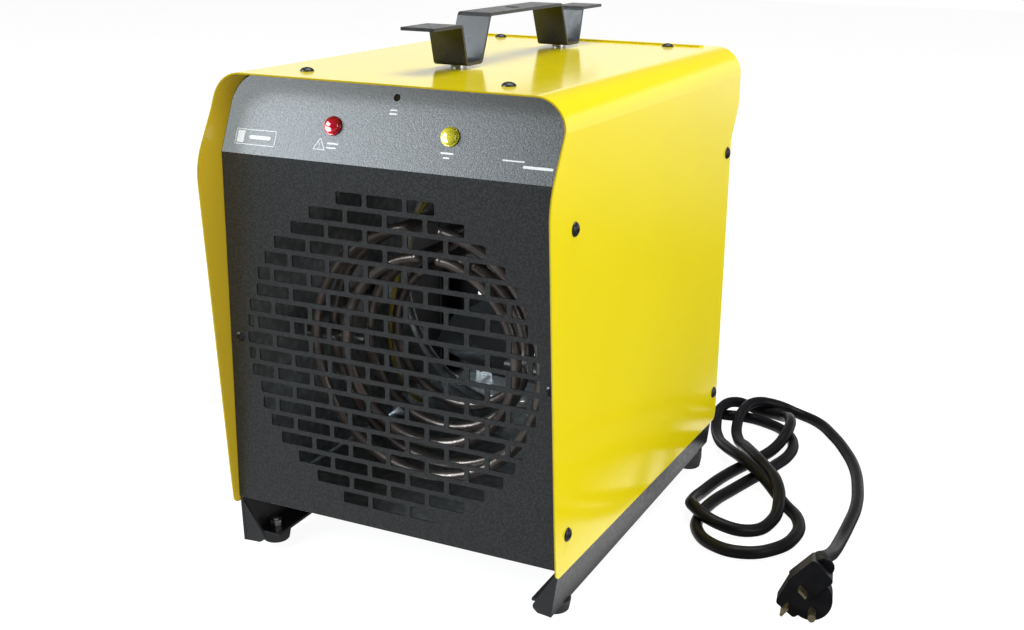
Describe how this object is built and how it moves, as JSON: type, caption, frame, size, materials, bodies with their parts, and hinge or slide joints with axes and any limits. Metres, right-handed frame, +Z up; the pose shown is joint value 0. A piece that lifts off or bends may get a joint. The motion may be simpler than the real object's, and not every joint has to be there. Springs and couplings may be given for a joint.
{
  "type": "portable fan-forced space heater",
  "caption": "Boxy portable electric fan heater: folded sheet-metal wrap with a carry strap, brick-slotted grille over coiled tubular elements, foot rails, mains cord with angled plug.",
  "frame": {"origin": "middle of the floor rectangle under the heater, on the floor plane of the rubber feet", "axes": "+Z up; the grille faces -Y; +X is to the right of someone looking at the grille"},
  "size_m": [0.4148, 0.4716, 0.379],
  "materials": {
    "yellow_powder_coat": "gloss",
    "charcoal_texture_coat": "hammered satin",
    "dark_grey_coat": "satin",
    "black_rubber": "matte",
    "zinc_steel": "satin",
    "black_coated_screw": "satin",
    "red_lens": "gloss",
    "amber_lens": "gloss",
    "white_plastic": "satin",
    "spring_steel": "satin",
    "black_plastic": "satin",
    "galvanised_sheet": "satin",
    "element_sheath": "oxidised satin",
    "element_porcelain": "satin",
    "fan_aluminium": "satin",
    "bright_steel": "satin",
    "bearing_bronze": "satin",
    "motor_casting": "as cast",
    "motor_laminations": "matte",
    "winding_copper": "satin",
    "ivory_plastic": "satin",
    "terminal_brass": "satin",
    "wire_insulation": "satin",
    "cord_rubber": "satin",
    "plug_contact": "bright"
  },
  "bodies": {
    "heater": {"housing": "yellow_powder_coat", "face_panel": "charcoal_texture_coat", "rear_panel": "charcoal_texture_coat", "base_pan": "galvanised_sheet", "foot_rail_left": "dark_grey_coat", "foot_rail_right": "dark_grey_coat", "rubber_feet": "black_rubber", "foot_screws": "zinc_steel", "foot_nuts": "zinc_steel", "handle": "dark_grey_coat", "handle_spacers": "zinc_steel", "handle_bolts": "black_coated_screw", "handle_nuts": "zinc_steel", "top_screws": "black_coated_screw", "side_screws_left": "black_coated_screw", "side_screws_right": "black_coated_screw", "face_screws": "black_coated_screw", "heat_shield": "galvanised_sheet", "rear_screws": "black_coated_screw", "pan_screws": "zinc_steel", "safety_lamp_lens": "red_lens", "power_lamp_lens": "amber_lens", "lamp_barrels": "white_plastic", "lamp_clips": "spring_steel", "limit_switch": "black_plastic", "limit_bracket": "galvanised_sheet", "element_outer": "element_sheath", "element_inner": "element_sheath", "element_supports": "galvanised_sheet", "element_plate": "galvanised_sheet", "element_insulators": "element_porcelain", "element_nuts": "zinc_steel", "fan_deck": "galvanised_sheet", "motor_bearings": "bearing_bronze", "motor_front_bell": "motor_casting", "motor_stator": "motor_laminations", "motor_windings": "winding_copper", "motor_rear_bell": "motor_casting", "motor_bolts": "zinc_steel", "motor_standoffs": "zinc_steel", "thermostat_body": "ivory_plastic", "thermostat_nut": "zinc_steel", "thermostat_bulb": "winding_copper", "terminal_block": "black_plastic", "terminal_screws": "terminal_brass", "lead_wires": "wire_insulation", "cord_gland": "black_plastic", "gland_nut": "black_plastic", "cord_boot": "cord_rubber", "power_cord": "cord_rubber", "plug_body": "cord_rubber", "plug_blades": "plug_contact"},
    "fan": {"fan_blade": "fan_aluminium", "fan_nut": "zinc_steel", "motor_shaft": "bright_steel", "motor_rotor": "bright_steel"},
    "reset_button": {"reset_button": "black_plastic"},
    "thermostat_knob": {"thermostat_knob": "black_plastic", "thermostat_shaft": "bright_steel"}
  },
  "joints": [
    {"name": "fan_spin", "type": "hinge", "parent": "heater", "child": "fan", "pos_m": [0, 0.05, 0.1638], "axis": [0, 1, 0], "continuous": true},
    {"name": "reset_press", "type": "slide", "parent": "heater", "child": "reset_button", "axis": [0, 0.9205, -0.3907], "range_m": [0, 0.0025], "stiffness_N_per_m": 400},
    {"name": "thermostat_turn", "type": "hinge", "parent": "heater", "child": "thermostat_knob", "pos_m": [0.062, 0.17, 0.3], "axis": [0, -1, 0], "range_deg": [0, 270]}
  ]
}
